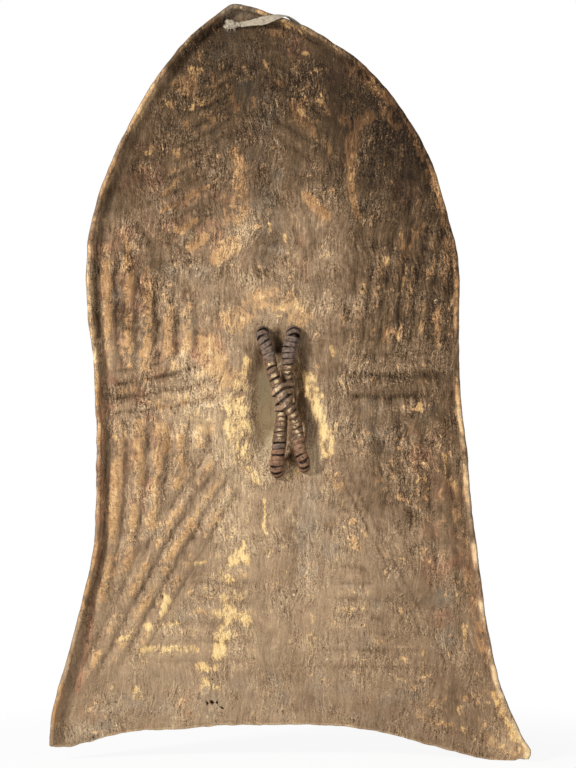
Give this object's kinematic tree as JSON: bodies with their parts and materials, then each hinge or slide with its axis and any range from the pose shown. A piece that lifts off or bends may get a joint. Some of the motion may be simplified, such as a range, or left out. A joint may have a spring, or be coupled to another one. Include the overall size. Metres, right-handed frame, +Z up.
{
  "type": "african shield",
  "caption": "Waisted, pointed moulded hide shield with a turned rim, a long hollow boss, a crossed and bound two-rod hand grip and a hanging thong at its apex.",
  "frame": {"origin": "middle of the hand grip, where its two rods cross", "axes": "+Z up towards the apex, -Y towards the bearer, +X to the bearer's right"},
  "size_m": [0.6971, 0.1367, 1.1033],
  "materials": {
    "hide": "dry untanned hide, dark grey-brown above and lighter taupe below, abraded to pale cream on crests",
    "grip_rod": "dark hard rawhide",
    "grip_strip": "dark brown strip, polished by the hand",
    "stopper_knot": "dark hard rawhide",
    "thong": "greyed off-white fibrous strip"
  },
  "bodies": {
    "root": {"hide_shell": "hide", "grip_core_front": "grip_rod", "grip_core_rear": "grip_rod", "grip_wrap_front": "grip_strip", "grip_wrap_rear": "grip_strip", "crossing_lashing": "grip_strip", "front_knot_upper_left": "stopper_knot", "front_knot_upper_right": "stopper_knot", "front_knot_lower_left": "stopper_knot", "front_knot_lower_right": "stopper_knot", "hanging_thong": "thong", "thong_knot": "thong"}
  },
  "joints": []
}
